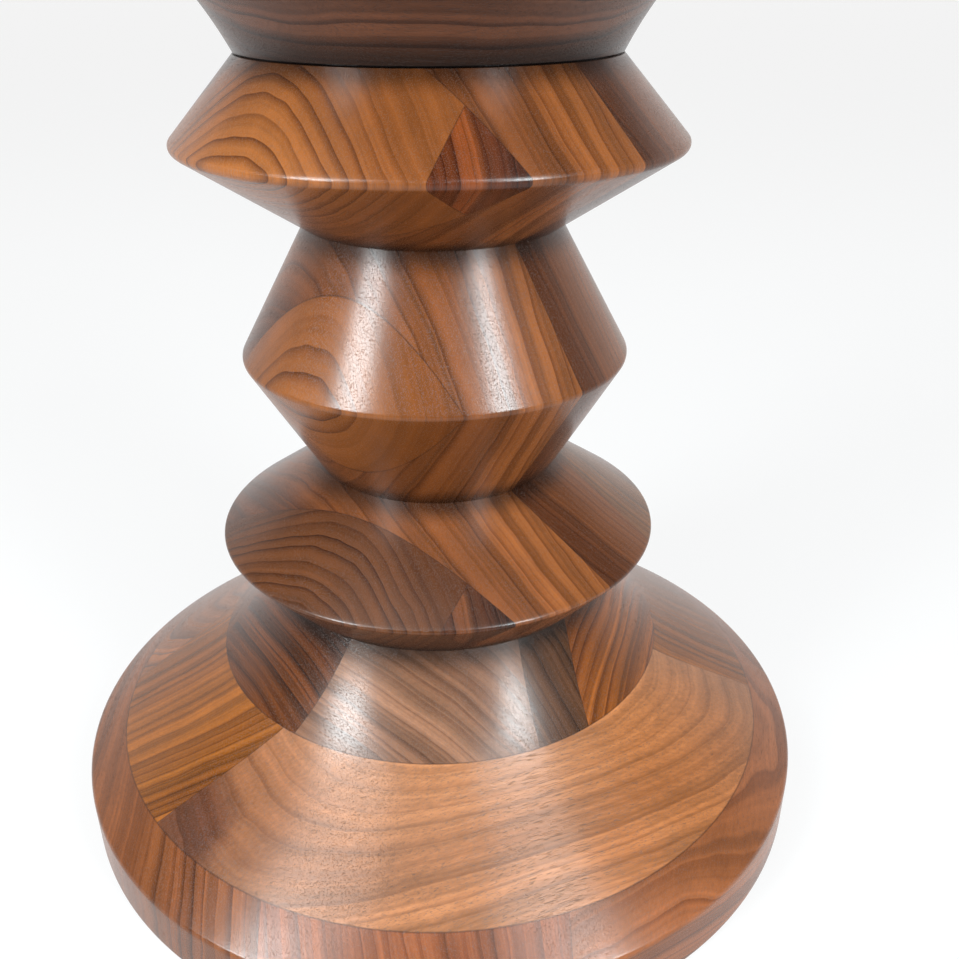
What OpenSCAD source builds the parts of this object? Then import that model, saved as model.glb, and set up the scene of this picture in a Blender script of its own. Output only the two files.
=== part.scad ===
// A stool turned from a glued-up block of walnut: a flared foot, a column of
// three stacked rings, and a seat that mirrors the foot.
// Every glued board is a solid of its own. The rings cut some boards apart,
// so what is left of such a board on each ring is a solid of its own too.
// Units are millimetres, +Z is up, and the origin is the centre of the foot's underside.

/* [Foot and seat] */
// Radius of the foot and of the seat
disc_r = 166; // [150:1:180]
// Height of the upright rim around the foot and the seat
rim_h = 23; // [16:1:28]
// Thickness of one layer of boards in the foot and the seat
layer_h = 35; // [32:1:40]
// Radius of the neck where the foot or the seat meets the column
neck_r = 74.4; // [70:0.2:80]
// Radius of the dished part of the seat's top
dish_r = 148; // [120:1:150]
// Depth of the seat's dish at its centre
dish_depth = 8; // [3:0.5:12]

/* [Column] */
// Height of the column, from the foot's neck to the seat's joint
column_h = 214.5; // [205:0.5:225]
// Radius of the column's top, at the seat's joint
column_top_r = 70.7; // [66:0.1:75]
// Radius of the two deep grooves between the rings
groove_r = 50.6; // [46:0.2:56]
// Radius of the lower ring
lower_ring_r = 95.2; // [85:0.1:105]
// Radius of the middle ring
middle_ring_r = 79; // [70:0.1:79]
// Radius of the upper ring
upper_ring_r = 98; // [85:0.1:110]
// Height of the open line between the column and the seat
reveal_h = 0.8; // [0.4:0.1:2]
// Depth of the open line between the column and the seat
reveal_depth = 4; // [2:0.5:8]

/* [Edges] */
// Rounding of the upper and middle rings
ring_round = 2.5; // [0.5:0.25:4]
// Rounding of the thin lower ring
thin_ring_round = 1.5; // [0.5:0.25:3]
// Rounding of the foot's and the seat's rim
rim_round = 3; // [0.5:0.25:5]

/* [Boards] */
// Thickness of the upright planks in the column
plank_t = 41.5; // [38:0.5:46]
// Distance from the axis to the front face of the front plank
front_joint = 59.5; // [58:0.5:62]
// Distance from the axis to the joint that closes the corner blocks
corner_joint = 52.5; // [52:0.5:56]
// Diameter of the hidden dowels at both ends of the column
dowel_d = 30; // [20:1:34]

/* [Hidden] */

// Heights of the layers and joints, from the floor up
foot_1 = layer_h;
foot_2 = 2 * layer_h;
foot_top = 3 * layer_h;
column_top = foot_top + column_h;
seat_bottom = column_top + reveal_h;
seat_1 = seat_bottom + layer_h;
seat_2 = seat_bottom + 2 * layer_h;
seat_top = seat_bottom + 3 * layer_h;

// Heights of the rings and grooves above the foot's neck
lower_ring_z = foot_top + 0.107 * column_h;
lower_groove_z = foot_top + 0.25 * column_h;
middle_ring_z = foot_top + 0.4755 * column_h;
upper_groove_z = foot_top + 0.715 * column_h;
upper_ring_z = foot_top + 0.859 * column_h;

// The flare leaves the neck steeply and reaches the rim as a flatter cone
flare_h = foot_top - rim_h;
flare_handle = 0.475 * flare_h;
slope_at_neck = 0.51;
slope_at_rim = 1.4;

// Directions, as turns about the axis from +X, that the glue joints face
column_turn = -124;
corner_turn = column_turn + 90;
foot_turn = -74;
neck_turn = -58;
neck_right_turn = 17;

// Distances from the axis to the glue joints
core_front = front_joint - plank_t;
core_rear = core_front - plank_t;
rear_joint = core_rear - plank_t;
foot_left_joint = -70;
foot_right_joint = 45;
foot_front_joint = 55;
foot_rear_joint = -45;
neck_front_joint = 35.5;
neck_rear_joint = -45;
neck_right_joint = 33;
neck_middle_joint = 9.5;
seat_neck_joint = 20;
seat_middle_joint = 52;
seat_top_joint = 55;

// Dowels: how far each one goes into the column and into the foot or seat
dowel_in_column = 40;
dowel_in_disc = 25;
dowel_play = 0.5;

edge_round = 1.5;
arc_steps = 6;
curve_steps = 24;
dish_steps = 12;
reach = disc_r + 20;
$fn = 128;

// Colours of the boards
brown = [0.42, 0.26, 0.16];
golden = [0.55, 0.36, 0.21];
reddish = [0.45, 0.25, 0.16];
dark = [0.29, 0.19, 0.14];
mauve = [0.38, 0.26, 0.21];
pale = [0.78, 0.66, 0.5];

function unit(v) = v / norm(v);

// The arc of radius rr that rounds corner b, between the lines to a and to c
function rounded(a, b, c, rr) =
  let (
    u = unit(a - b),
    v = unit(c - b),
    half = acos(u * v) / 2,
    centre = b + unit(u + v) * rr / sin(half),
    from = b + u * rr / tan(half) - centre,
    start = atan2(from.y, from.x),
    turn = (cross(u, v) > 0 ? -1 : 1) * (180 - 2 * half)
  )
  [for (i = [0:arc_steps])
    centre + rr * [cos(start + turn * i / arc_steps), sin(start + turn * i / arc_steps)]];

// A point of the cubic curve through a and d with the handles b and c
function curve(a, b, c, d, t) =
  pow(1 - t, 3) * a + 3 * pow(1 - t, 2) * t * b + 3 * (1 - t) * t * t * c + pow(t, 3) * d;

// The flare from the rim to a neck of the given radius, as [radius, distance from the neck]
rim_corner = [disc_r, flare_h];
function flare(neck) = [for (i = [0:curve_steps]) curve(
  rim_corner,
  rim_corner - flare_handle * [slope_at_rim, 1],
  [neck, 0] + flare_handle * [slope_at_neck, 1],
  [neck, 0],
  i / curve_steps)];

// The same, starting with the rounded corner between the upright rim and the flare
function rim_and_flare(neck) =
  let (line = flare(neck))
  concat(
    rounded([disc_r, flare_h + rim_h], rim_corner, line[2], rim_round),
    [for (i = [2:curve_steps]) line[i]]);

// The half outline of the foot, from the axis out and up to the neck
foot_outline = concat(
  [[0, 0]],
  rounded([0, 0], [disc_r, 0], [disc_r, rim_h], edge_round),
  [for (p = rim_and_flare(neck_r)) [p.x, foot_top - p.y]],
  [[0, foot_top]]);

// The half outline of the column, from the foot's neck to the seat's joint
foot_edge = [neck_r, foot_top];
lower_ring = [lower_ring_r, lower_ring_z];
lower_groove = [groove_r, lower_groove_z];
middle_ring = [middle_ring_r, middle_ring_z];
upper_groove = [groove_r, upper_groove_z];
upper_ring = [upper_ring_r, upper_ring_z];
column_edge = [column_top_r, column_top];
column_outline = concat(
  [[0, foot_top], foot_edge],
  rounded(foot_edge, lower_ring, lower_groove, thin_ring_round),
  [lower_groove],
  rounded(lower_groove, middle_ring, upper_groove, ring_round),
  [upper_groove],
  rounded(upper_groove, upper_ring, column_edge, ring_round),
  [column_edge, [0, column_top]]);

// The half outline of the seat: the foot upside down, with a dish turned in its top
// and a thin open line turned into its joint with the column
dish_sphere_r = (pow(dish_r, 2) + pow(dish_depth, 2)) / (2 * dish_depth);
function dish_z(r) = seat_top - dish_depth + dish_sphere_r - sqrt(pow(dish_sphere_r, 2) - r * r);
reveal_r = column_top_r - reveal_depth;
seat_flare = rim_and_flare(column_top_r);
seat_outline = concat(
  [[0, column_top], [reveal_r, column_top], [reveal_r, seat_bottom]],
  [for (i = [len(seat_flare) - 1:-1:0]) [seat_flare[i].x, seat_bottom + seat_flare[i].y]],
  rounded([disc_r, seat_bottom], [disc_r, seat_top], [dish_r, seat_top], rim_round),
  [for (i = [dish_steps:-1:0]) [dish_r * i / dish_steps, dish_z(dish_r * i / dish_steps)]]);

// The turned shape with the given half outline, between two heights
module turned(outline, bottom, top) {
  rotate_extrude()
    intersection() {
      polygon(outline);
      translate([0, bottom])
        square([reach, top - bottom]);
    }
}

// Everything whose distance from the axis, measured along a direction, is between two values
module between(direction, from, to) {
  rotate([0, 0, direction])
    translate([from, -reach, -1])
      cube([to - from, 2 * reach, seat_top + 2]);
}

// Everything on the axis side of a joint, and everything outside it
module inside(direction, joint) {
  between(direction, -reach, joint);
}

module outside(direction, joint) {
  between(direction, joint, reach);
}

// The socket that a dowel is glued into
module socket(bottom, top) {
  translate([0, 0, bottom])
    cylinder(h = top - bottom, d = dowel_d);
}

// ---- Foot, bottom layer: boards that run front to back ----

module foot_bottom_left_board() {
  color(reddish)
    intersection() {
      turned(foot_outline, 0, foot_1);
      inside(0, foot_left_joint);
    }
}

module foot_bottom_centre_board() {
  color(mauve)
    intersection() {
      turned(foot_outline, 0, foot_1);
      between(0, foot_left_joint, foot_right_joint);
    }
}

module foot_bottom_right_board() {
  color(reddish)
    intersection() {
      turned(foot_outline, 0, foot_1);
      outside(0, foot_right_joint);
    }
}

// ---- Foot, middle layer: boards that run across ----

module foot_middle_front_board() {
  color(golden)
    intersection() {
      turned(foot_outline, foot_1, foot_2);
      outside(foot_turn, foot_front_joint);
    }
}

module foot_middle_centre_board() {
  color(brown)
    intersection() {
      turned(foot_outline, foot_1, foot_2);
      between(foot_turn, foot_rear_joint, foot_front_joint);
    }
}

module foot_middle_rear_board() {
  color(brown)
    intersection() {
      turned(foot_outline, foot_1, foot_2);
      inside(foot_turn, foot_rear_joint);
    }
}

// ---- Foot, top layer: the neck ----

module neck_front_board() {
  color(mauve)
    intersection() {
      turned(foot_outline, foot_2, foot_top);
      outside(neck_turn, neck_front_joint);
      inside(neck_right_turn, neck_middle_joint);
    }
}

module neck_front_right_board() {
  color(dark)
    intersection() {
      turned(foot_outline, foot_2, foot_top);
      outside(neck_turn, neck_front_joint);
      between(neck_right_turn, neck_middle_joint, neck_right_joint);
    }
}

module neck_side_board() {
  color(reddish)
    difference() {
      intersection() {
        turned(foot_outline, foot_2, foot_top);
        between(neck_turn, neck_rear_joint, neck_front_joint);
        inside(neck_right_turn, neck_right_joint);
      }
      socket(foot_top - dowel_in_disc, foot_top + 1);
    }
}

module neck_rear_board() {
  color(brown)
    intersection() {
      turned(foot_outline, foot_2, foot_top);
      inside(neck_turn, neck_rear_joint);
      inside(neck_right_turn, neck_right_joint);
    }
}

module neck_right_board() {
  color(reddish)
    intersection() {
      turned(foot_outline, foot_2, foot_top);
      outside(neck_right_turn, neck_right_joint);
    }
}

// ---- Column: upright planks that run its whole height ----

module column_front_plank() {
  color(brown)
    intersection() {
      turned(column_outline, foot_top, column_top);
      between(column_turn, core_front, front_joint);
    }
}

module column_core_plank() {
  color(dark)
    difference() {
      intersection() {
        turned(column_outline, foot_top, column_top);
        between(column_turn, core_rear, core_front);
      }
      socket(foot_top - 1, foot_top + dowel_in_column);
      socket(column_top - dowel_in_column, column_top + 1);
    }
}

module column_rear_plank() {
  color(brown)
    intersection() {
      turned(column_outline, foot_top, column_top);
      between(column_turn, rear_joint, core_rear);
    }
}

// ---- Rings: what the grooves leave of the outermost planks ----

module front_block(bottom, top) {
  color(golden)
    intersection() {
      turned(column_outline, bottom, top);
      outside(column_turn, front_joint);
      inside(corner_turn, corner_joint);
    }
}

module corner_block(bottom, top) {
  color(dark)
    intersection() {
      turned(column_outline, bottom, top);
      outside(column_turn, front_joint);
      outside(corner_turn, corner_joint);
    }
}

module rear_block(bottom, top) {
  color(brown)
    intersection() {
      turned(column_outline, bottom, top);
      inside(column_turn, rear_joint);
    }
}

module lower_ring_front_block() {
  front_block(foot_top, lower_groove_z);
}

module lower_ring_corner_block() {
  corner_block(foot_top, lower_groove_z);
}

module lower_ring_rear_block() {
  rear_block(foot_top, lower_groove_z);
}

module middle_ring_front_block() {
  front_block(lower_groove_z, upper_groove_z);
}

module middle_ring_rear_block() {
  rear_block(lower_groove_z, upper_groove_z);
}

module upper_ring_front_block() {
  front_block(upper_groove_z, column_top);
}

module upper_ring_corner_block() {
  corner_block(upper_groove_z, column_top);
}

module upper_ring_rear_block() {
  rear_block(upper_groove_z, column_top);
}

// ---- Seat, bottom layer: boards that run across ----

module seat_neck_front_board() {
  color(mauve)
    difference() {
      intersection() {
        turned(seat_outline, column_top, seat_1);
        inside(90, seat_neck_joint);
      }
      socket(column_top - 1, column_top + dowel_in_disc);
    }
}

module seat_neck_rear_board() {
  color(brown)
    intersection() {
      turned(seat_outline, column_top, seat_1);
      outside(90, seat_neck_joint);
    }
}

// ---- Seat, middle layer: boards that run front to back ----

module seat_middle_left_board() {
  color(reddish)
    intersection() {
      turned(seat_outline, seat_1, seat_2);
      inside(0, -seat_middle_joint);
    }
}

module seat_middle_centre_board() {
  color(brown)
    intersection() {
      turned(seat_outline, seat_1, seat_2);
      between(0, -seat_middle_joint, seat_middle_joint);
    }
}

module seat_middle_right_board() {
  color(reddish)
    intersection() {
      turned(seat_outline, seat_1, seat_2);
      outside(0, seat_middle_joint);
    }
}

// ---- Seat, top layer: boards that run across ----

module seat_top_front_board() {
  color(brown)
    intersection() {
      turned(seat_outline, seat_2, seat_top);
      inside(90, -seat_top_joint);
    }
}

module seat_top_centre_board() {
  color(golden)
    intersection() {
      turned(seat_outline, seat_2, seat_top);
      between(90, -seat_top_joint, seat_top_joint);
    }
}

module seat_top_rear_board() {
  color(brown)
    intersection() {
      turned(seat_outline, seat_2, seat_top);
      outside(90, seat_top_joint);
    }
}

// ---- Hidden dowels: they register the column and lock its end-grain joints ----

module foot_dowel() {
  color(pale)
    socket(foot_top - dowel_in_disc, foot_top + dowel_in_column - dowel_play);
}

module seat_dowel() {
  color(pale)
    socket(column_top - dowel_in_column, column_top + dowel_in_disc - dowel_play);
}

foot_bottom_left_board();
foot_bottom_centre_board();
foot_bottom_right_board();
foot_middle_front_board();
foot_middle_centre_board();
foot_middle_rear_board();
neck_front_board();
neck_front_right_board();
neck_right_board();
neck_side_board();
neck_rear_board();
column_front_plank();
column_core_plank();
column_rear_plank();
lower_ring_front_block();
lower_ring_corner_block();
lower_ring_rear_block();
middle_ring_front_block();
middle_ring_rear_block();
upper_ring_front_block();
upper_ring_corner_block();
upper_ring_rear_block();
seat_neck_front_board();
seat_neck_rear_board();
seat_middle_left_board();
seat_middle_centre_board();
seat_middle_right_board();
seat_top_front_board();
seat_top_centre_board();
seat_top_rear_board();
foot_dowel();
seat_dowel();
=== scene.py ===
# %% [markdown]
# # A turned walnut stool
# The object is a low stool that also serves as a side table. A block is glued up from walnut boards, put
# on a lathe, and turned to one outline: a wide foot, three sharp rings with deep V grooves between them,
# and a seat that mirrors the foot. Its looks come from two things only. One is the turned outline. The
# other is the way that each board's growth rings are cut open by it, in a different direction and colour
# on every board. So this scene makes one solid of revolution per part of the stool, saws it into its
# boards, and gives every board a wood that is worked out in space, from the distance to its own pith.

# %% Load the frame, with helpers that read the CAD boards
import math

import bmesh
import bpy
import numpy as np
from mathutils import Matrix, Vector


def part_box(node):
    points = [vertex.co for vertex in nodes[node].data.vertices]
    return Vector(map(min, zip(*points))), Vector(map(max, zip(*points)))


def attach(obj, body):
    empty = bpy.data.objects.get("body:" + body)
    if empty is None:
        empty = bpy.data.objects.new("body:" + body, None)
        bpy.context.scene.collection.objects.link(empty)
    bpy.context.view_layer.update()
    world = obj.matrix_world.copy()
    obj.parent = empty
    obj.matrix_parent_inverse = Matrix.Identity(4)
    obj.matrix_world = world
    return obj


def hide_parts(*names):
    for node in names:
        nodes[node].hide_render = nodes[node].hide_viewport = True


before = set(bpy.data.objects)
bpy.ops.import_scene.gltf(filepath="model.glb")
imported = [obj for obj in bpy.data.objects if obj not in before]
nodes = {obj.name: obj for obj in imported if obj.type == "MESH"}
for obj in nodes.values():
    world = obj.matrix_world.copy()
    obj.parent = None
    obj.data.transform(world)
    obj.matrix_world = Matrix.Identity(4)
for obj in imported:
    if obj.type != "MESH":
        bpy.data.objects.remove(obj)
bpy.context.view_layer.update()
print("boards and dowels in the frame:", len(nodes))


def height_of(node, side):
    """The lowest (side 0) or highest (side 1) point of a node, in metres."""
    return float(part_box(node)[side][2])


# %% [markdown]
# ## The turned outline
# A turner works to a half outline: how far the surface is from the axis at each height. The foot has an
# upright rim, then a flare that is nearly a straight cone at the rim and gets steeper towards the neck.
# A cubic curve with two handles gives such a flare. The column is a zigzag of straight cones whose sharp
# corners are eased with a small arc. It could be drawn by hand as a Blender curve. Formulas were chosen
# instead, because then the outline follows the sizes of the CAD boards. The sizes are in millimetres, and
# the heights of the layers are read from the frame.

# %% Sizes in millimetres
disc_r = 166.0
rim_h = 23.0
neck_r = 74.4
column_top_r = 70.7
groove_r = 50.6
reveal_r = 66.7
reveal_h = 0.8
dish_r = 148.0
dish_depth = 8.0
dowel_r = 15.0
dowel_in_foot = 25.0
dowel_in_column = 40.0
dowel_in_seat = 24.5

foot_1 = 1000 * height_of("foot_bottom_centre_board", 1)
foot_2 = 1000 * height_of("foot_middle_front_board", 1)
foot_top = 1000 * height_of("neck_side_board", 1)
column_top = 1000 * height_of("column_core_plank", 1)
seat_1 = 1000 * height_of("seat_neck_front_board", 1)
seat_2 = 1000 * height_of("seat_middle_centre_board", 1)
seat_top = 1000 * height_of("seat_top_front_board", 1)
column_h = column_top - foot_top
seat_bottom = column_top + reveal_h
lower_groove = foot_top + 0.25 * column_h
upper_groove = foot_top + 0.715 * column_h
rim_easing = 3.0
sole_easing = 1.5
ring_corners = {
    "lower": (95.2, foot_top + 0.107 * column_h, 1.5),
    "middle": (79.0, foot_top + 0.4755 * column_h, 2.5),
    "upper": (98.0, foot_top + 0.859 * column_h, 2.5),
}
heights = (foot_1, foot_2, foot_top, column_top, seat_1, seat_2, seat_top)
print("layer heights in mm:", [round(v, 1) for v in heights])


# %% Helpers that draw an outline
def easing(before, corner, after, radius, steps=8):
    """Arc in place of a corner: centre + radius * (cos, sin) of angles in equal steps.

    It touches the lines to the points before and after, radius / tan(half the angle) from the corner.
    """
    before, corner, after = (np.array(p, float) for p in (before, corner, after))
    back = (before - corner) / np.linalg.norm(before - corner)
    ahead = (after - corner) / np.linalg.norm(after - corner)
    half = math.acos(float(back @ ahead)) / 2
    middle = (back + ahead) / np.linalg.norm(back + ahead)
    centre = corner + middle * radius / math.sin(half)
    first = corner + back * radius / math.tan(half) - centre
    side = 1.0 if back[0] * ahead[1] - back[1] * ahead[0] < 0 else -1.0
    angles = math.atan2(first[1], first[0]) + side * (math.pi - 2 * half) * np.linspace(0, 1, steps + 1)
    return centre + radius * np.stack([np.cos(angles), np.sin(angles)], axis=1)


def flare(neck, steps=48):
    """Cubic curve from the rim to the neck, as (radius, distance from the neck).

    Point t is the sum of the four handles, weighted (1-t)^3, 3(1-t)^2 t, 3(1-t) t^2 and t^3.
    """
    rise = 3 * (foot_2 - foot_1) - rim_h
    handle = 0.475 * rise
    t = np.linspace(0, 1, steps + 1)[:, None]
    weights = ((1 - t) ** 3, 3 * (1 - t) ** 2 * t, 3 * (1 - t) * t * t, t ** 3)
    handles = (
        np.array([disc_r, rise]),
        np.array([disc_r - 1.4 * handle, rise - handle]),
        np.array([neck + 0.51 * handle, handle]),
        np.array([neck, 0.0]),
    )
    return sum(weight * point for weight, point in zip(weights, handles))


def rim_and_flare(neck):
    """The eased corner at the rim, then the flare to the neck."""
    line = flare(neck)
    rise = line[0][1]
    corner = easing((disc_r, rise + rim_h), (disc_r, rise), line[3], rim_easing)
    return np.concatenate([corner, line[3:]])


def filled_in(corners, step=2.5):
    """Adds points on long straight runs, read off at equal distances along the outline."""
    corners = np.array(corners, float)
    run = np.concatenate([[0.0], np.cumsum(np.linalg.norm(np.diff(corners, axis=0), axis=1))])
    extra = np.arange(step, run[-1], step)
    nearest = np.abs(extra[:, None] - run[None, :]).min(axis=1)
    places = np.sort(np.concatenate([run, extra[nearest > 0.45 * step]]))
    return np.stack([np.interp(places, run, corners[:, k]) for k in (0, 1)], axis=1)


print("flare, from the rim to the neck:", flare(neck_r)[::16].round(1).tolist())

# %% Three outlines, each from the axis out and back to the axis
foot_outline = filled_in(np.concatenate([
    [(0, 0)],
    easing((0, 0), (disc_r, 0), (disc_r, rim_h), sole_easing),
    rim_and_flare(neck_r) * [1, -1] + [0, foot_top],
    [(dowel_r, foot_top), (dowel_r, foot_top - dowel_in_foot), (0, foot_top - dowel_in_foot)],
]))

zigzag = [
    (neck_r, foot_top),
    ring_corners["lower"][:2],
    (groove_r, lower_groove),
    ring_corners["middle"][:2],
    (groove_r, upper_groove),
    ring_corners["upper"][:2],
    (column_top_r, column_top),
]
column_outline = filled_in(np.concatenate([
    [(0, foot_top + dowel_in_column), (dowel_r, foot_top + dowel_in_column)],
    [(dowel_r, foot_top), zigzag[0]],
    easing(*zigzag[0:3], ring_corners["lower"][2]),
    [zigzag[2]],
    easing(*zigzag[2:5], ring_corners["middle"][2]),
    [zigzag[4]],
    easing(*zigzag[4:7], ring_corners["upper"][2]),
    [zigzag[6], (dowel_r, column_top)],
    [(dowel_r, column_top - dowel_in_column), (0, column_top - dowel_in_column)],
]))

sphere_r = (dish_r ** 2 + dish_depth ** 2) / (2 * dish_depth)
dish_x = np.linspace(dish_r, 0, 41)
dish_z = seat_top - dish_depth + sphere_r - np.sqrt(sphere_r ** 2 - dish_x ** 2)
dish = np.stack([dish_x, dish_z], axis=1)
seat_outline = filled_in(np.concatenate([
    [(0, column_top + dowel_in_seat), (dowel_r, column_top + dowel_in_seat), (dowel_r, column_top)],
    [(reveal_r, column_top), (reveal_r, seat_bottom)],
    rim_and_flare(column_top_r)[::-1] + [0, seat_bottom],
    easing((disc_r, seat_bottom), (disc_r, seat_top), (dish_r, seat_top), rim_easing),
    dish,
]))
print("outline points:", len(foot_outline), len(column_outline), len(seat_outline))

# %% [markdown]
# ## Turning and sawing
# Turning is the outline carried once round the axis. Blender's Spin tool would do it, but a grid worked
# out with numpy gives exact poles and no doubled seam. Sawing is a flat cut that keeps one side and caps
# it, done with bmesh, because the joints are planes and each cut has to stay flat. A cut face makes the
# smooth normals next to it lean, and then a highlight breaks at every glue joint. On a turned surface no
# normal has a part that runs round the axis, so that part is taken out again.

# %% Turn an outline into a closed solid
SEGMENTS = 288
OFF_THE_SAW = 0.37  # the first point lies this part of a step off +X, so that no cut runs through a point


def turned(outline):
    """Point (row j, turn i) is (r_j cos a_i, r_j sin a_i, z_j); a pole closes each end on the axis."""
    ring = outline[1:-1] / 1000
    a = 2 * np.pi * (np.arange(SEGMENTS) + OFF_THE_SAW) / SEGMENTS
    points = np.stack([
        ring[:, :1] * np.cos(a),
        ring[:, :1] * np.sin(a),
        np.repeat(ring[:, 1:], SEGMENTS, axis=1),
    ], axis=2).reshape(-1, 3)
    poles = np.array([[0, 0, outline[0][1]], [0, 0, outline[-1][1]]]) / 1000
    index = np.arange(len(ring) * SEGMENTS).reshape(len(ring), SEGMENTS)
    beside = np.roll(index, -1, axis=1)
    quads = np.stack([index[:-1], beside[:-1], beside[1:], index[1:]], axis=2).reshape(-1, 4)
    low = np.stack([np.full(SEGMENTS, len(points)), beside[0], index[0]], axis=1)
    high = np.stack([np.full(SEGMENTS, len(points) + 1), index[-1], beside[-1]], axis=1)
    mesh = bpy.data.meshes.new("turned")
    points = np.concatenate([points, poles])
    mesh.from_pydata(points.tolist(), [], quads.tolist() + low.tolist() + high.tolist())
    solid = bmesh.new()
    solid.from_mesh(mesh)
    bpy.data.meshes.remove(mesh)
    return solid


turned_solids = {
    "foot": turned(foot_outline),
    "column": turned(column_outline),
    "seat": turned(seat_outline),
}
print("volumes in litres:", {k: round(1000 * v.calc_volume(), 3) for k, v in turned_solids.items()})


# %% Saw a solid along a plane
def away(turn):
    """The level direction that is turned by so many degrees from +X."""
    return np.array([math.cos(math.radians(turn)), math.sin(math.radians(turn)), 0.0])


UP = np.array([0.0, 0.0, 1.0])


def saw(solid, direction, distance, keep):
    """Cuts at a distance in mm along a direction, keeps what is below or above it, and caps the cut."""
    geometry = solid.verts[:] + solid.edges[:] + solid.faces[:]
    bmesh.ops.bisect_plane(
        solid,
        geom=geometry,
        dist=1e-7,
        plane_co=direction * distance / 1000,
        plane_no=direction,
        clear_outer=keep == "below",
        clear_inner=keep == "above",
    )
    open_edges = [edge for edge in solid.edges if edge.is_boundary]
    if open_edges:
        bmesh.ops.holes_fill(solid, edges=open_edges)


print("a joint turned by -124 degrees faces", away(-124).round(3).tolist())


# %% Shade a sawn board so that a highlight runs on over its joints
SHARP_ARRIS = math.radians(28)


def read_vectors(collection, name):
    """An attribute of a mesh's points, corners or faces as an array with one row each."""
    values = np.empty(len(collection) * 3)
    collection.foreach_get(name, values)
    return values.reshape(-1, 3)


def read_numbers(collection, name):
    """The same for a whole number."""
    values = np.empty(len(collection), int)
    collection.foreach_get(name, values)
    return values


def true_round(mesh):
    """Smooth shading with sharp arrises: n - (n . t) t on turned faces, where t runs round the axis."""
    mesh.shade_smooth()
    mesh.set_sharp_from_angle(angle=SHARP_ARRIS)
    normals = read_vectors(mesh.corner_normals, "vector")
    places = read_vectors(mesh.vertices, "co")[read_numbers(mesh.loops, "vertex_index")]
    sizes = read_numbers(mesh.polygons, "loop_total")
    of_face = np.repeat(read_vectors(mesh.polygons, "normal"), sizes, axis=0)
    radius = np.hypot(places[:, 0], places[:, 1])
    around = np.stack([-places[:, 1], places[:, 0], 0 * radius], axis=1)
    around /= np.maximum(radius, 1e-9)[:, None]
    face_lean = np.abs(np.sum(of_face * around, axis=1))
    is_turned = (face_lean < 0.02) & (radius > 0.01) & (np.abs(of_face[:, 2]) < 0.999)
    lean = np.sum(normals * around, axis=1)[:, None] * around
    straight = normals - np.where(is_turned[:, None], lean, 0)
    straight /= np.linalg.norm(straight, axis=1)[:, None]
    mesh.normals_split_custom_set(straight.tolist())


# %% [markdown]
# ## Walnut as a solid
# In a tree the growth rings are cylinders round the pith. Where a board was cut from the tree decides all
# that its faces show: nearly straight stripes far from the pith, arches and closed figures close to it,
# and end grain where the surface runs across the fibre. A picture of veneer wrapped round each board would
# break at every arris. So the wood is a function of the place in space, made of shader nodes, and the
# grain runs on round each corner and into each cut as it does in solid wood.

# %% Small helpers for building a material
def put(tree, value, socket):
    """Links a socket to a socket, or sets a plain value on it."""
    if isinstance(value, bpy.types.NodeSocket):
        tree.links.new(value, socket)
    else:
        socket.default_value = value


def calc(tree, operation, *values):
    """One Math node; each value is a number or a socket."""
    node = tree.nodes.new("ShaderNodeMath")
    node.operation = operation
    for value, socket in zip(values, node.inputs):
        put(tree, value, socket)
    return node.outputs[0]


def vector_calc(tree, operation, first, second):
    """One Vector Math node."""
    node = tree.nodes.new("ShaderNodeVectorMath")
    node.operation = operation
    put(tree, first, node.inputs[0])
    put(tree, second, node.inputs[1])
    return node.outputs["Value"] if operation in ("DOT_PRODUCT", "LENGTH") else node.outputs[0]


def grain_noise(tree, place, sizes, detail=2.0, roughness=0.5):
    """Noise whose grains have the given sizes in millimetres along the fibre, across it and in depth."""
    node = tree.nodes.new("ShaderNodeTexNoise")
    node.inputs["Scale"].default_value = 1.0
    node.inputs["Detail"].default_value = detail
    node.inputs["Roughness"].default_value = roughness
    put(tree, vector_calc(tree, "MULTIPLY", place, tuple(1 / s for s in sizes)), node.inputs["Vector"])
    return node.outputs[0]


def year_noise(tree, age, size, detail=1.0):
    """Noise along the age only, so it is the same all along one growth ring."""
    node = tree.nodes.new("ShaderNodeTexNoise")
    node.noise_dimensions = "1D"
    node.inputs["Scale"].default_value = 1.0 / size
    node.inputs["Detail"].default_value = detail
    put(tree, age, node.inputs["W"])
    return node.outputs[0]


def remap(tree, value, low, high, out_low=0.0, out_high=1.0, smooth=False):
    """Map Range: low..high becomes out_low..out_high, and stays inside."""
    node = tree.nodes.new("ShaderNodeMapRange")
    node.interpolation_type = "SMOOTHSTEP" if smooth else "LINEAR"
    for number, socket in zip((low, high, out_low, out_high), list(node.inputs)[1:5]):
        socket.default_value = number
    put(tree, value, node.inputs[0])
    return node.outputs[0]


def tinted(tree, factor, first, second, blend="MIX"):
    """A colour mix; each colour is a socket or a plain colour."""
    node = tree.nodes.new("ShaderNodeMix")
    node.data_type = "RGBA"
    node.blend_type = blend
    put(tree, factor, node.inputs[0])
    put(tree, first, node.inputs[6])
    put(tree, second, node.inputs[7])
    return node.outputs[2]


def colour(red, green, blue):
    """A colour given as 0 to 255 on a screen, turned into linear light: ((c + 0.055) / 1.055) ^ 2.4."""
    c = np.array([red, green, blue]) / 255
    linear = np.where(c > 0.04045, ((c + 0.055) / 1.055) ** 2.4, c / 12.92)
    return (*[float(v) for v in linear], 1.0)


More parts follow.
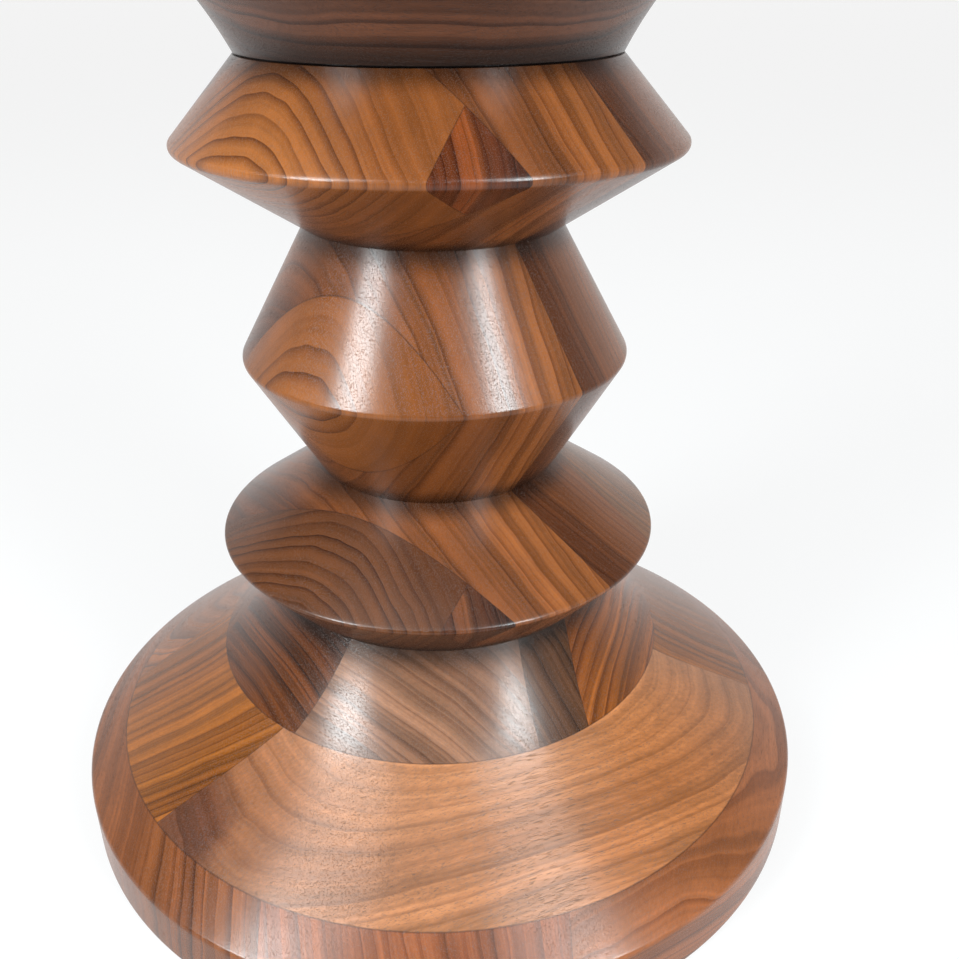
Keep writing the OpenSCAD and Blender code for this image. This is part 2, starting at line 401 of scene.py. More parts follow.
def tone_ramp(tree, value, stops):
    """A colour ramp with (place in 0..1, colour) stops."""
    node = tree.nodes.new("ShaderNodeValToRGB")
    ramp = node.color_ramp
    ramp.interpolation = "B_SPLINE" if len(stops) > 3 else "LINEAR"
    ramp.elements[0].position, ramp.elements[0].color = stops[0]
    ramp.elements[1].position, ramp.elements[1].color = stops[-1]
    for place, shade in stops[1:-1]:
        ramp.elements.new(place).color = shade
    put(tree, value, node.inputs[0])
    return node.outputs[0]


# %% [markdown]
# ### The age of the wood
# A Mapping node puts the origin on the board's pith and the X axis along its fibre, in millimetres. The
# distance from that axis says how old the wood is. Real rings aren't true circles, so two noises push
# them about: a slow one, long along the fibre, and a quick one.

# %% Age
RIPPLE = 1.4  # how far the quick noise pushes a ring, in mm


def in_the_wood(tree, place, pith, fibre):
    """A place in mm from the pith, turned back by the fibre's turn from +X and its rise."""
    mapping = tree.nodes.new("ShaderNodeMapping")
    mapping.vector_type = "TEXTURE"
    mapping.inputs["Location"].default_value = tuple(v / 1000 for v in pith)
    mapping.inputs["Rotation"].default_value = (0, -math.radians(fibre[1]), math.radians(fibre[0]))
    mapping.inputs["Scale"].default_value = (0.001, 0.001, 0.001)
    tree.links.new(place, mapping.inputs["Vector"])
    return mapping.outputs[0]


def quick_ripple(tree, wood):
    """Quick noise about zero."""
    return calc(tree, "SUBTRACT", grain_noise(tree, wood, (45, 16, 16), 1.0), 0.5)


def age_of(tree, wood, quick, wander):
    """Distance from the pith + 2 wander (slow noise - 1/2) + 2 ripple (quick noise), in mm."""
    across = vector_calc(tree, "MULTIPLY", wood, (0, 1, 1))
    radius = vector_calc(tree, "LENGTH", across, (0, 0, 0))
    slow = calc(tree, "SUBTRACT", grain_noise(tree, wood, (170, 55, 55), 0.0), 0.5)
    age = calc(tree, "MULTIPLY_ADD", slow, 2 * wander, radius)
    return calc(tree, "MULTIPLY_ADD", quick, 2 * RIPPLE, age)


# %% [markdown]
# ### The years
# Walnut darkens slowly through each year and stops sharply where growth stops. The age is divided into
# years, and what is left over, from 0 to 1, is the part of the year. A high power of it gives the dark
# line. Noise on the age alone makes some years wider and some lines darker, all along the same ring. Some
# boards have strong lines only up to an age, and a plain part beyond it.

# %% Years
def part_of_year(tree, age, year):
    """What is left over of age / year + 0.9 noise(age)."""
    uneven = calc(tree, "MULTIPLY", year_noise(tree, age, 3.1 * year), 0.9)
    return calc(tree, "FRACT", calc(tree, "ADD", calc(tree, "DIVIDE", age, year), uneven))


def late_wood(tree, age, part, year, strong):
    """part^3.4, ended smoothly over the last 5 % of the year, times a strength of 0.6 to 1."""
    late = calc(tree, "POWER", part, 3.4)
    late = calc(tree, "MULTIPLY", late, remap(tree, part, 0.95, 1.0, 1.0, 0.0, True))
    strength = remap(tree, year_noise(tree, age, 1.9 * year), 0.36, 0.54, 0.6, 1.0)
    if strong:
        fading = remap(tree, age, strong[0], strong[1], 1.0, 0.15, True)
        strength = calc(tree, "MULTIPLY", strength, fading)
    return calc(tree, "MULTIPLY", late, strength)


# %% [markdown]
# ### The tone
# Heartwood isn't one brown. Its tone changes from the pith outwards over many years, and here and there a
# patch is darker or warmer. A colour ramp over the age gives the first. For a patch, the distance from one
# spot on the board decides how much of a tint is multiplied in.

# %% Tone
LATE_TINT = (0.16, 0.09, 0.07, 1.0)


def heartwood(tree, age, tones):
    """A ramp through the (age in mm, screen colour) tones."""
    first, last = tones[0][0], tones[-1][0]
    stops = [((mm - first) / (last - first), colour(*shade)) for mm, shade in tones]
    return tone_ramp(tree, remap(tree, age, first, last), stops)


def patched(tree, shade, place, quick, patches):
    """Multiplies in a tint, by 0.85 up to 0.4 reach from the spot and by 0 beyond the reach."""
    for spot, reach, stain in patches:
        apart = vector_calc(tree, "SUBTRACT", place, tuple(v / 1000 for v in spot))
        apart = vector_calc(tree, "LENGTH", apart, (0, 0, 0))
        apart = calc(tree, "MULTIPLY_ADD", quick, 0.012, apart)
        share = remap(tree, apart, 0.4 * reach / 1000, reach / 1000, 0.85, 0.0, True)
        shade = tinted(tree, share, shade, stain, "MULTIPLY")
    return shade


# %% [markdown]
# ### Streaks, bands and painted shade in the grooves
# Thin streaks follow the fibre, a soft mottle lies over them, and bands of light and dark follow the age.
# The bottom of each V groove lies in shade, and a painted shade close to each groove's circle darkens the
# colour there. All four only make the tone lighter or darker, so they are multiplied.

# %% Light and dark
def bands_of(tree, age, year, bands):
    """Fine bands times broad bands, each about 1."""
    fine = remap(tree, year_noise(tree, age, 0.24 * year, 2.0), 0.25, 0.75, 1 - bands, 1 + bands)
    broad = year_noise(tree, age, 1.3 * year, 1.0)
    return fine, remap(tree, broad, 0.3, 0.7, 1 - 1.3 * bands, 1 + 1.3 * bands)


def streaks_of(tree, wood):
    """Noise 70 mm long and 1.1 mm across."""
    return grain_noise(tree, wood, (70, 1.1, 1.1), 3.0, 0.6)


# Mask for the painted shade at the bottom of a groove.
def from_shaded_groove(tree, place, shaded_groove):
    """Distance in mm from a circle round the axis: sqrt((r - nook r)^2 + (z - nook z)^2)."""
    level = vector_calc(tree, "LENGTH", vector_calc(tree, "MULTIPLY", place, (1000, 1000, 0)), (0, 0, 0))
    level = calc(tree, "SUBTRACT", level, shaded_groove[0])
    upright = calc(tree, "SUBTRACT", vector_calc(tree, "DOT_PRODUCT", place, (0, 0, 1000)), shaded_groove[1])
    squares = (calc(tree, "MULTIPLY", level, level), calc(tree, "MULTIPLY", upright, upright))
    return calc(tree, "SQRT", calc(tree, "ADD", *squares))


def light_of(tree, place, wood, streak, streaks, bands, shaded_grooves):
    """Streaks, mottle, bands and the painted shade of the grooves multiplied."""
    mottle = grain_noise(tree, wood, (34, 15, 15), 2.0)
    light = remap(tree, streak, 0.25, 0.75, 1 - streaks, 1 + streaks)
    light = calc(tree, "MULTIPLY", light, remap(tree, mottle, 0.25, 0.75, 0.88, 1.12))
    for band in bands:
        light = calc(tree, "MULTIPLY", light, band)
    # Painted shade in each groove: the colour is darkened to 0.3 at the groove's circle, fading out by 11
    # mm.
    for shaded_groove in shaded_grooves:
        shade = remap(tree, from_shaded_groove(tree, place, shaded_groove), 0.5, 11.0, 0.3, 1.0, True)
        light = calc(tree, "MULTIPLY", light, shade)
    return light


def scaled(tree, shade, light):
    """A colour times a number."""
    node = tree.nodes.new("ShaderNodeVectorMath")
    node.operation = "SCALE"
    put(tree, shade, node.inputs[0])
    put(tree, light, node.inputs["Scale"])
    return node.outputs[0]


# %% [markdown]
# ### Pores and glue lines
# Walnut has open pores that a thin lacquer doesn't fill: dark dashes a few millimetres long, more of them
# in the early part of a year. Noise stretched along the fibre and cut off at a high level gives them. At a
# glue joint there is a dark line a quarter of a millimetre wide, where the distance to the joint's plane
# is next to nothing.

# %% Pores and glue lines
PORE_DARK = colour(30, 15, 10)
GLUE_DARK = colour(34, 17, 11)


def pores_of(tree, wood, part):
    """1 in a pore and 0 elsewhere; the level rises by 0.05 through the year."""
    dash = grain_noise(tree, wood, (5.0, 0.26, 0.26), 1.0, 0.45)
    dash = calc(tree, "SUBTRACT", dash, remap(tree, part, 0.0, 1.0, 0.0, 0.05))
    return remap(tree, dash, 0.55, 0.64, 0.0, 1.0, True)


def glued(tree, finish, place, joints):
    """Darkens the colour within 0.3 mm of the nearest joint, given as (direction, distance in mm)."""
    gap = None
    for direction, distance in joints:
        flat = vector_calc(tree, "DOT_PRODUCT", place, tuple(1000 * direction))
        flat = calc(tree, "ABSOLUTE", calc(tree, "SUBTRACT", flat, distance))
        gap = flat if gap is None else calc(tree, "MINIMUM", gap, flat)
    return tinted(tree, remap(tree, gap, 0.05, 0.3, 0.5, 0.0, True), finish, GLUE_DARK)


# %% [markdown]
# ### Satin lacquer
# The finish is a thin satin lacquer that follows the wood. It is a plain Principled shader of moderate
# gloss, rougher in the pores, and the bump sinks the pores and lets the streaks be felt. The bump stays
# below a tenth of a millimetre, because a deeper one reads as cracks in the bands of light.

# %% Satin lacquer, and the walnut as a whole
LACQUER_IOR = 1.43
LACQUER_GLOSS = (0.24, 0.5)  # roughness of the surface and of a pore


def satin_lacquer(tree, finish, pore, streak):
    """Principled shader with height = 0.4 streak - pore."""
    shader = tree.nodes.new("ShaderNodeBsdfPrincipled")
    shader.inputs["IOR"].default_value = LACQUER_IOR
    put(tree, finish, shader.inputs["Base Color"])
    put(tree, remap(tree, pore, 0.0, 1.0, *LACQUER_GLOSS), shader.inputs["Roughness"])
    bump = tree.nodes.new("ShaderNodeBump")
    bump.inputs["Strength"].default_value = 0.3
    bump.inputs["Distance"].default_value = 0.00008
    put(tree, calc(tree, "SUBTRACT", calc(tree, "MULTIPLY", streak, 0.4), pore), bump.inputs["Height"])
    tree.links.new(bump.outputs[0], shader.inputs["Normal"])
    out = tree.nodes.new("ShaderNodeOutputMaterial")
    tree.links.new(shader.outputs[0], out.inputs["Surface"])


def walnut(name, tones, pith, fibre, year=5.5, lines=0.8, wander=6.0, streaks=0.14, bands=0.2,
           pores=0.4, strong=None, patches=(), shaded_grooves=(), joints=()):
    """The wood of one board.

    tones: (age in mm, screen colour) from the pith outwards
    pith: a point on the pith in mm; fibre: turn from +X and rise of the fibre in degrees
    year: width of a year in mm; wander: how far the rings stray in mm
    lines, streaks, bands, pores: how strong each is, from 0 to 1
    strong: the ages at which the lines are strong and have faded; patches: (spot, reach, tint)
    grooves it meets: (radius, height) each, with painted shade around them; joints: the planes of its glue
    joints
    """
    material = bpy.data.materials.new(name)
    material.use_nodes = True
    tree = material.node_tree
    tree.nodes.clear()
    place = tree.nodes.new("ShaderNodeTexCoord").outputs["Object"]
    wood = in_the_wood(tree, place, pith, fibre)
    quick = quick_ripple(tree, wood)
    age = age_of(tree, wood, quick, wander)
    part = part_of_year(tree, age, year)
    dark = calc(tree, "MULTIPLY", late_wood(tree, age, part, year, strong), lines)
    shade = tinted(tree, dark, heartwood(tree, age, tones), LATE_TINT, "MULTIPLY")
    shade = patched(tree, shade, place, quick, patches)
    streak = streaks_of(tree, wood)
    light = light_of(tree, place, wood, streak, streaks, bands_of(tree, age, year, bands), shaded_grooves)
    pore = pores_of(tree, wood, part)
    finish = tinted(tree, calc(tree, "MULTIPLY", pore, pores), scaled(tree, shade, light), PORE_DARK)
    if joints:
        finish = glued(tree, finish, place, joints)
    satin_lacquer(tree, finish, pore, streak)
    return material


print("lacquer: IOR", LACQUER_IOR, "and roughness", LACQUER_GLOSS)

# %% [markdown]
# ## Boards
# The real stool is glued up first and turned after, so a joint's line runs over every curve. The boards
# could each be drawn on their own, but here each starts as a copy of a whole turned part, so that
# neighbours meet exactly. Every joint saws something off, what is left is
# shaded and gets its own walnut, and it takes the place of its CAD node. Its volume is printed next to
# that of the CAD board, because two boards of the same volume and joints are the same board.

# %% Painted shade in the grooves, and the joints
# The circles at the bottoms of the grooves and of the open line under the seat; the wood near them is
# darkened as painted shade.
shaded_grooves = {
    "foot": [(neck_r, foot_top)],
    "column": [
        (neck_r, foot_top),
        (groove_r, lower_groove),
        (groove_r, upper_groove),
        (column_top_r, column_top),
    ],
    "seat": [(column_top_r, seat_bottom)],
}

# Directions that the glue joints face
column_way = away(-124)
corner_way = away(-34)
foot_way = away(-74)
neck_way = away(-58)
neck_right_way = away(17)
side_way = away(0)
back_way = away(90)

# How far the joints are from the axis along those directions, in mm
sole_left, sole_right = -70, 45
foot_rear, foot_front = -45, 55
neck_rear, neck_front = -45, 35.5
neck_dark, neck_right = 9.5, 33
plank = 41.5
blocks_front = 59.5
front_plank = blocks_front - plank
core_plank = blocks_front - 2 * plank
blocks_rear = blocks_front - 3 * plank
corner = 52.5
seat_neck = 20
seat_side = 52
seat_back = 55
print("column joints in mm from the axis:", blocks_front, front_plank, core_plank, blocks_rear)


# %% [markdown]
# Each board has one tone of its own, and lighter and darker steps of it from the pith outwards. Darker
# walnut is also redder, so green and blue fall faster than red. One tone and its steps are easier to
# change than a colour for every age.

# %% Steps of one tone
REDDENING = (1, 1.25, 1.5)


def steps(tone, *places):
    """Red k, green k^1.25 and blue k^1.5 for each (age in mm, k)."""
    return [(age, tuple(v * k ** p for v, p in zip(tone, REDDENING))) for age, k in places]


print("a step down from (100, 60, 30):", [round(v, 1) for v in steps((100, 60, 30), (0, 0.8))[0][1]])

# %% One function makes a board: sawn, shaded, finished and fitted in place of its CAD node
def cad_volume(node):
    """Volume of a CAD board in cm3, from a copy of its mesh with the doubled points merged."""
    copy = bmesh.new()
    copy.from_mesh(nodes[node].data)
    bmesh.ops.remove_doubles(copy, verts=copy.verts, dist=1e-6)
    volume = 1e6 * copy.calc_volume()
    copy.free()
    return volume


def board(node, part, cuts, slot, **wood):
    """Cuts are (direction, lowest, highest) in mm; None leaves that side whole."""
    solid = turned_solids[part].copy()
    joints = []
    for direction, lowest, highest in cuts:
        if lowest is not None:
            saw(solid, direction, lowest, "above")
            joints.append((direction, lowest))
        if highest is not None:
            saw(solid, direction, highest, "below")
            joints.append((direction, highest))
    bmesh.ops.recalc_face_normals(solid, faces=solid.faces)
    volume = solid.calc_volume()
    mesh = bpy.data.meshes.new(node + "_wood")
    solid.to_mesh(mesh)
    solid.free()
    true_round(mesh)
    piece = bpy.data.objects.new(node + "_wood", mesh)
    bpy.context.scene.collection.objects.link(piece)
    mesh.materials.append(walnut(node + "_walnut", joints=joints, shaded_grooves=shaded_grooves[part], **wood))
    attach(piece, "root")
    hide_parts(node)
    mesh.calc_loop_triangles()
    made, drawn = 1e6 * volume, cad_volume(node)
    print(f"{node}: {len(mesh.loop_triangles)} triangles, {made:.1f} cm3, CAD {drawn:.1f} cm3")


# %% [markdown]
# ## The foot
# Three layers of 35 mm boards are glued crosswise and then turned, so each layer shows as a ring round the
# foot with its own grain. The bottom layer runs front to back, the middle one across. The wide golden board
# in the middle layer was cut with the pith above it, so the flare opens it into long arches. Painted stripes
# would have to be bent by hand over the flare. Here it is enough to say where the pith lies.

# %% Bottom layer
board(
    "foot_bottom_left_board", "foot",
    [(UP, None, foot_1), (side_way, None, sole_left)],
    "walnut_reddish",
    tones=steps((104, 56, 26), (170, 1.0), (190, 1.06), (205, 0.85), (216, 1.18), (228, 0.87),
                (240, 1.14), (262, 1.0)),
    pith=(-330, 0, 40), fibre=(90, 0), year=5.0, lines=0.90, bands=0.16, wander=5.0, strong=(222, 200),
)
board(
    "foot_bottom_centre_board", "foot",
    [(UP, None, foot_1), (side_way, sole_left, sole_right)],
    "walnut_mauve",
    tones=steps((110, 58, 30), (190, 1.0), (215, 1.18), (232, 1.0), (250, 1.2), (270, 1.0),
                (305, 1.12)),
    pith=(-260, 0, -20), fibre=(91, 0), year=6.0, lines=0.6, bands=0.16, wander=5.0,
)
board(
    "foot_bottom_right_board", "foot",
    [(UP, None, foot_1), (side_way, sole_right, None)],
    "walnut_reddish",
    tones=steps((128, 74, 42), (100, 1.0), (118, 0.89), (126, 1.06), (140, 0.89), (160, 1.0)),
    pith=(105, 0, -95), fibre=(78, 0), year=6.0, lines=0.6, bands=0.17,
)

# %% Middle layer
board(
    "foot_middle_front_board", "foot",
    [(UP, foot_1, foot_2), (foot_way, foot_front, None)],
    "walnut_golden",
    tones=steps((145, 94, 60), (60, 1.06), (80, 1.0), (93, 0.91), (100, 0.97), (116, 1.0)),
    pith=(0, -83, 131), fibre=(20, 0), year=6.0, lines=0.38, bands=0.13, pores=0.55, streaks=0.2,
    wander=5.0,
    patches=[
        ((-108, -98, 42), 34, (0.34, 0.26, 0.27, 1)),
        ((-82, -96, 50), 46, (0.74, 0.68, 0.64, 1)),
        ((104, -76, 50), 60, (1.06, 0.93, 0.72, 1)),
        ((70, -132, 38), 30, (1.15, 1.05, 0.9, 1)),
    ],
)
board(
    "foot_middle_centre_board", "foot",
    [(UP, foot_1, foot_2), (foot_way, foot_rear, foot_front)],
    "walnut_brown",
    tones=steps((114, 62, 18), (150, 1.0), (176, 0.93), (186, 1.14), (196, 1.0), (206, 1.18),
                (216, 0.94), (224, 1.22), (232, 0.77), (242, 1.15)),
    pith=(0, 150, 90), fibre=(2, 0), year=3.6, lines=0.90, wander=3.0, strong=(214, 200), bands=0.24,
)
board(
    "foot_middle_rear_board", "foot",
    [(UP, foot_1, foot_2), (foot_way, None, foot_rear)],
    "walnut_brown",
    tones=steps((125, 72, 37), (60, 1.05), (85, 0.94), (105, 1.07), (130, 0.95)),
    pith=(10, 90, 128), fibre=(12, 0), year=5.5, lines=0.75,
)

# %% Top layer, the neck
board(
    "neck_front_board", "foot",
    [(UP, foot_2, None), (neck_way, neck_front, None), (neck_right_way, None, neck_dark)],
    "walnut_mauve",
    tones=steps((113, 77, 56), (90, 1.0), (110, 0.88), (122, 1.14), (140, 0.83), (160, 1.0)),
    pith=(-127, -127, 30), fibre=(135, 0), year=6.0, lines=0.55, bands=0.18,
)
board(
    "neck_front_right_board", "foot",
    [(UP, foot_2, None), (neck_way, neck_front, None), (neck_right_way, neck_dark, neck_right)],
    "walnut_dark",
    tones=steps((80, 48, 24), (90, 1.0), (110, 0.84), (130, 1.1), (160, 0.84)),
    pith=(-127, -110, 30), fibre=(122, 0), year=4.0, lines=0.75,
)
board(
    "neck_right_board", "foot",
    [(UP, foot_2, None), (neck_right_way, neck_right, None)],
    "walnut_reddish",
    tones=steps((104, 54, 19), (90, 0.98), (115, 1.25), (130, 0.86), (150, 1.16), (180, 0.91)),
    pith=(190, -62, 60), fibre=(72, 0), year=5.0, lines=0.90, bands=0.24,
)
board(
    "neck_side_board", "foot",
    [(UP, foot_2, None), (neck_way, neck_rear, neck_front), (neck_right_way, None, neck_right)],
    "walnut_reddish",
    tones=steps((80, 40, 14), (70, 1.05), (95, 0.85), (120, 1.15), (150, 0.8), (190, 1.0)),
    pith=(-140, -78, 60), fibre=(119, 0), year=4.5, lines=0.83, bands=0.3,
)
board(
    "neck_rear_board", "foot",
    [(UP, foot_2, None), (neck_way, None, neck_rear), (neck_right_way, None, neck_right)],
    "walnut_brown",
    tones=steps((100, 56, 28), (80, 1.06), (110, 0.91), (140, 1.09), (180, 0.94)),
    pith=(-120, 120, 40), fibre=(40, 0), year=5.0, lines=0.75,
)

# %% [markdown]
# ## The column
# Upright planks, glued side by side, run the whole height, so their joints and their stripes line up on
# all three rings. Where a groove cuts through the outermost plank, a block of it is left on each ring.
# The fibre stands upright: the cones cut across it and show the rings of the tree nearly end on. The three
# rings could be three parts, but as one turned part they share each plank's pith, so the stripes line up.

# %% Planks that run the whole height
board(
    "column_front_plank", "column",
    [(column_way, front_plank, blocks_front)],
    "walnut_brown",
    tones=steps((104, 57, 26), (372, 1.19), (386, 1.11), (396, 1.0), (412, 0.97), (424, 1.02),
                (436, 0.82), (454, 0.7)),
    pith=(320, 190, 200), fibre=(0, 89), year=7.0, lines=0.7, wander=3.0, streaks=0.1, bands=0.2,
)
board(
    "column_core_plank", "column",
    [(column_way, core_plank, front_plank)],
    "walnut_dark",
    tones=steps((97, 52, 22), (376, 1.16), (390, 1.07), (404, 1.0), (412, 0.86), (418, 0.72)),
    pith=(224, 332, 200), fibre=(0, 90), year=3.5, lines=0.6, wander=2.0, streaks=0.1, bands=0.14,
)
board(
    "column_rear_plank", "column",
    [(column_way, blocks_rear, core_plank)],
    "walnut_brown",
    tones=steps((110, 68, 36), (334, 1.1), (350, 0.96), (362, 1.05), (376, 0.9)),
    pith=(224, 332, 200), fibre=(40, 89), year=5.0, lines=0.75, wander=3.0, streaks=0.1,
)

# %% Blocks that the grooves leave on each ring
ring_spans = {
    "lower": (None, lower_groove),
    "middle": (lower_groove, upper_groove),
    "upper": (upper_groove, None),
}
line_reach = {"lower": (122, 134), "middle": (112, 124), "upper": (136, 148)}
# The same plank gives the front and corner blocks of every ring; their tones are darker on the lower rings
# as painted shade, for the shade under the rings above.
front_tones_with_painted_shade = {"lower": (82, 45, 21), "middle": (118, 66, 27), "upper": (138, 81, 38)}
corner_tones_with_painted_shade = {"lower": (69, 34, 15), "upper": (82, 37, 14)}
front_piths = {"lower": (-117, -145, 130), "middle": (-124, -140, 207), "upper": (-140, -152, 290)}
for ring, (low, high) in ring_spans.items():
    corner_cut = [] if ring == "middle" else [(corner_way, None, corner)]
    board(
        f"{ring}_ring_front_block", "column",
        [(UP, low, high), (column_way, blocks_front, None)] + corner_cut,
        "walnut_golden",
        tones=steps(front_tones_with_painted_shade[ring], (84, 1.0), (106, 1.03), (118, 1.0), (130, 0.88), (142, 0.79)),
        pith=front_piths[ring], fibre=(50, 88), year=4.4, lines=0.95, wander=4.0, streaks=0.1,
        bands=0.1, strong=line_reach[ring],
    )
    board(
        f"{ring}_ring_rear_block", "column",
        [(UP, low, high), (column_way, None, blocks_rear)],
        "walnut_brown",
        tones=steps((108, 63, 32), (80, 1.06), (100, 0.96), (120, 1.06), (145, 0.92)),
        pith=(110, 160, 200), fibre=(50, 88), year=5.5, lines=0.90, wander=4.0, streaks=0.1,
    )
    if ring != "middle":
        board(
            f"{ring}_ring_corner_block", "column",
            [(UP, low, high), (column_way, blocks_front, None), (corner_way, corner, None)],
            "walnut_dark",
            tones=steps(corner_tones_with_painted_shade[ring], (256, 1.0), (266, 0.94), (270.5, 1.6), (275, 0.78), (290, 0.58)),
            pith=(-247, -175, 200), fibre=(0, 89), year=4.0, lines=0.90, wander=2.0, streaks=0.1,
        )

# %% [markdown]
# ## The seat
# It is the foot upside down, with a shallow dish turned in its top and an open line, less than a
# millimetre high, turned into its joint with the column. It could be a mirrored copy of the foot. It is
# drawn with the foot's flare function instead, because its neck is slimmer and its grain is its own.

# %% Bottom layer of the seat
board(
    "seat_neck_front_board", "seat",
    [(UP, None, seat_1), (back_way, None, seat_neck)],
    "walnut_mauve",
    tones=steps((76, 44, 28), (90, 1.08), (104, 0.95), (116, 1.06), (128, 0.88), (145, 1.01)),
    pith=(0, -62, 447), fibre=(0, 0), year=6.5, lines=0.95, wander=5.0, bands=0.25,
)
board(
    "seat_neck_rear_board", "seat",
    [(UP, None, seat_1), (back_way, seat_neck, None)],
    "walnut_brown",
    tones=steps((100, 58, 30), (80, 1.07), (110, 0.93), (140, 1.05)),
    pith=(0, 70, 440), fibre=(4, 0), year=6.0, lines=0.90, wander=5.0,
)

# %% Middle layer of the seat
board(
    "seat_middle_left_board", "seat",
    [(UP, seat_1, seat_2), (side_way, None, -seat_side)],
    "walnut_reddish",
    tones=steps((108, 60, 32), (50, 1.06), (80, 0.94), (110, 1.06), (150, 0.91)),
    pith=(-85, 0, 300), fibre=(88, 0), year=5.0, lines=0.83,
)
board(
    "seat_middle_centre_board", "seat",
    [(UP, seat_1, seat_2), (side_way, -seat_side, seat_side)],
    "walnut_brown",
    tones=steps((106, 60, 31), (50, 1.06), (80, 0.93), (110, 1.08), (150, 0.92)),
    pith=(8, 0, 298), fibre=(91, 0), year=5.5, lines=0.83,
)
board(
    "seat_middle_right_board", "seat",
    [(UP, seat_1, seat_2), (side_way, seat_side, None)],
    "walnut_reddish",
    tones=steps((110, 62, 33), (50, 1.07), (80, 0.95), (110, 1.05), (150, 0.9)),
    pith=(95, 0, 296), fibre=(93, 0), year=5.0, lines=0.83,
)

# %% Top layer of the seat
board(
    "seat_top_front_board", "seat",
    [(UP, seat_2, None), (back_way, None, -seat_back)],
    "walnut_brown",
    tones=steps((110, 64, 33), (60, 1.05), (85, 0.95), (100, 1.09), (140, 0.93)),
    pith=(-20, -112, 300), fibre=(3, 6), year=3.4, lines=0.83, wander=5.0,
)
board(
    "seat_top_centre_board", "seat",
    [(UP, seat_2, None), (back_way, -seat_back, seat_back)],
    "walnut_golden",
    tones=steps((135, 84, 47), (60, 1.04), (85, 0.95), (100, 1.06), (140, 0.93)),
    pith=(30, -8, 312), fibre=(0, -7), year=3.6, lines=0.75, wander=5.0,
)
board(
    "seat_top_rear_board", "seat",
    [(UP, seat_2, None), (back_way, seat_back, None)],
    "walnut_brown",
    tones=steps((107, 63, 33), (60, 1.05), (85, 0.94), (100, 1.08), (140, 0.94)),
    pith=(0, 118, 304), fibre=(-2, 5), year=3.4, lines=0.83, wander=5.0,
)

# %% [markdown]
# ## Dowels
# Hidden in the glued block, a beech dowel joins the column to the foot and another joins it to the seat.
# Beech is pale and even, with short dark flecks along the fibre. The CAD solids have the right shape, so
# they stay and only get this finish.


# %% Beech
def beech(name):
    """Pale wood with fine upright streaks and short flecks."""
    material = bpy.data.materials.new(name)
    material.use_nodes = True
    tree = material.node_tree
    shader = tree.nodes["Principled BSDF"]
    place = tree.nodes.new("ShaderNodeTexCoord").outputs["Object"]
    streak = grain_noise(tree, place, (0.0012, 0.0012, 0.06), 3.0)
    fleck = grain_noise(tree, place, (0.0004, 0.0004, 0.003), 1.0)
    tone = tone_ramp(tree, streak, [(0.25, colour(205, 164, 122)), (0.75, colour(226, 190, 150))])
    finish = tinted(tree, remap(tree, fleck, 0.6, 0.68, 0.0, 0.5), tone, colour(140, 92, 60))
    put(tree, finish, shader.inputs["Base Color"])
    put(tree, remap(tree, streak, 0.2, 0.8, 0.5, 0.65), shader.inputs["Roughness"])
    return material


dowel_wood = beech("dowel_beech_finish")
for dowel in ("foot_dowel", "seat_dowel"):
    for holder in nodes[dowel].material_slots:
        holder.material = dowel_wood
    if not nodes[dowel].material_slots:
        nodes[dowel].data.materials.append(dowel_wood)
for solid in turned_solids.values():
    solid.free()

# %% [markdown]
# ## Studio
# A pale floor, a soft white surround, and two tall soft boxes in front, one on each side. They leave two
# upright bands of light on every ring. The camera looks down from close in front, at the angle from which
# the foot is seen as a wide ellipse and the seat is cut by the top of the frame. A panorama picture of a
# studio could light it too. Separate lamps were chosen, because each band of light then has its own lamp.

# %% Floor
floor_mesh = bpy.data.meshes.new("floor")
floor_mesh.from_pydata([(-30, -30, 0), (30, -30, 0), (30, 30, 0), (-30, 30, 0)], [], [(0, 1, 2, 3)])
floor = bpy.data.objects.new("floor", floor_mesh)
bpy.context.scene.collection.objects.link(floor)
floor_paint = bpy.data.materials.new("pale_floor")
floor_paint.use_nodes = True
floor_paint.node_tree.nodes["Principled BSDF"].inputs["Base Color"].default_value = (0.12, 0.12, 0.12, 1)
floor_paint.node_tree.nodes["Principled BSDF"].inputs["Emission Color"].default_value = (1, 1, 1, 1)
floor_paint.node_tree.nodes["Principled BSDF"].inputs["Emission Strength"].default_value = 0.81
floor_paint.node_tree.nodes["Principled BSDF"].inputs["Roughness"].default_value = 0.7
floor_mesh.materials.append(floor_paint)

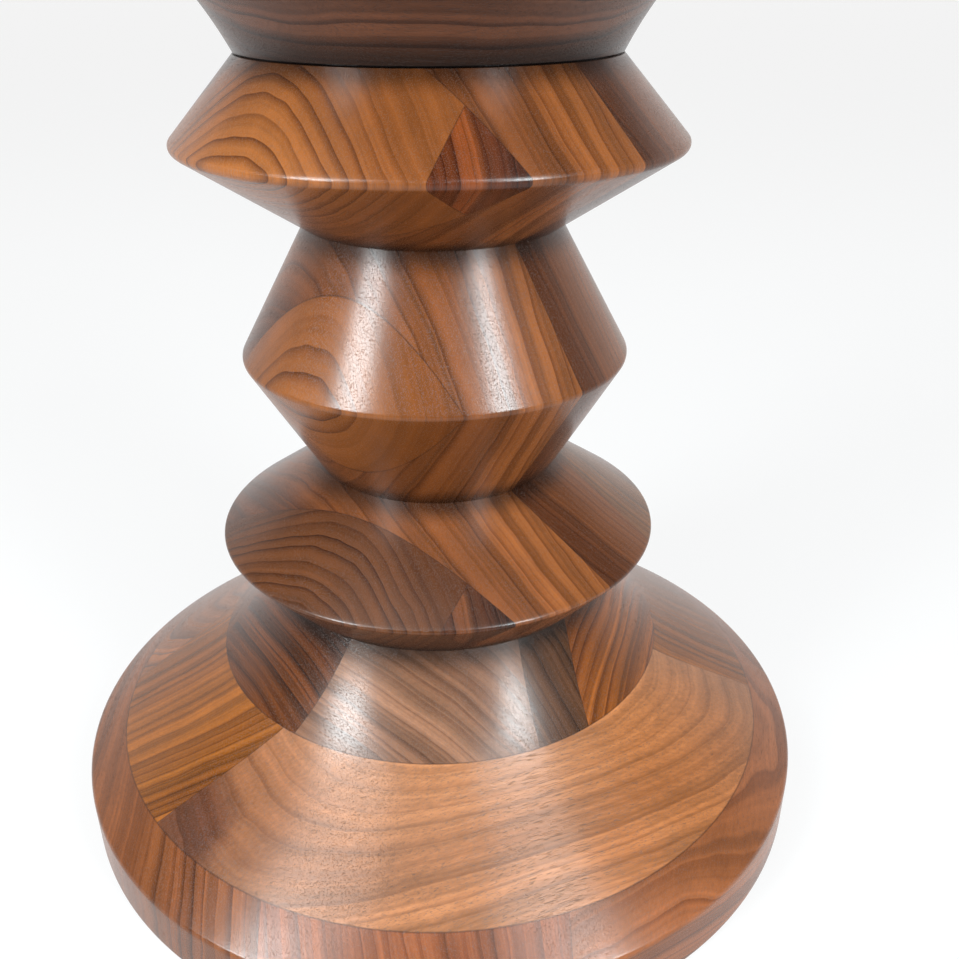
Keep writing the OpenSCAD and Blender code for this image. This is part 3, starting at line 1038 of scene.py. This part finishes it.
# %% Surround and soft boxes
world = bpy.data.worlds.new("studio")
world.use_nodes = True
surround = world.node_tree
way = surround.nodes.new("ShaderNodeSeparateXYZ")
surround.links.new(surround.nodes.new("ShaderNodeTexCoord").outputs["Generated"], way.inputs[0])
low = remap(surround, way.outputs[2], 0.3, 0.55, 1.0, 0.0, True)
behind = remap(surround, way.outputs[1], -0.1, 0.5, 0.08, 1.0, True)
glow = calc(surround, "MULTIPLY_ADD", calc(surround, "MULTIPLY", low, behind), 0.88, 0.12)
glow = tone_ramp(surround, glow, [(0.0, (0, 0, 0, 1)), (1.0, (1, 1, 1, 1))])
surround.links.new(glow, surround.nodes["Background"].inputs["Color"])
surround.nodes["Background"].inputs["Strength"].default_value = 1.0
bpy.context.scene.world = world


def soft_box(name, turn, rise, distance, width, height, power):
    """An area light that looks at the middle of the column from a direction given as turn and rise."""
    lamp = bpy.data.lights.new(name, "AREA")
    lamp.shape = "RECTANGLE"
    lamp.size = width
    lamp.size_y = height
    lamp.energy = power
    lamp.color = (0.88, 0.97, 1.0)
    holder = bpy.data.objects.new(name, lamp)
    bpy.context.scene.collection.objects.link(holder)
    aim = np.array([0, 0, 0.2])
    level = math.cos(math.radians(rise))
    spot = aim + distance * (level * away(turn) + UP * math.sin(math.radians(rise)))
    holder.location = tuple(spot)
    holder.rotation_euler = (math.radians(90 - rise), 0, math.radians(turn + 90))
    return holder


soft_box("left_soft_box", -142, 28, 1.6, 0.44, 0.64, 31)
soft_box("right_soft_box", -50, 28, 1.6, 0.34, 0.64, 27)
soft_box("left_high_box", -140, 48, 1.6, 0.7, 0.5, 9)
soft_box("right_high_box", -52, 48, 1.6, 0.7, 0.5, 9)
soft_box("top_soft_box", -110, 66, 1.8, 0.9, 0.6, 4)

# %% Camera
camera_place = (0, -0.4023, 0.3497)
camera_down = 27.19
camera_turn = -2.58
camera_data = bpy.data.cameras.new("camera")
camera_data.lens = 38.2
camera_data.sensor_width = 36
camera = bpy.data.objects.new("camera", camera_data)
bpy.context.scene.collection.objects.link(camera)
camera.location = camera_place
camera.rotation_euler = (math.radians(90 - camera_down), 0, math.radians(camera_turn))
bpy.context.scene.camera = camera
bpy.context.scene.view_settings.view_transform = "Standard"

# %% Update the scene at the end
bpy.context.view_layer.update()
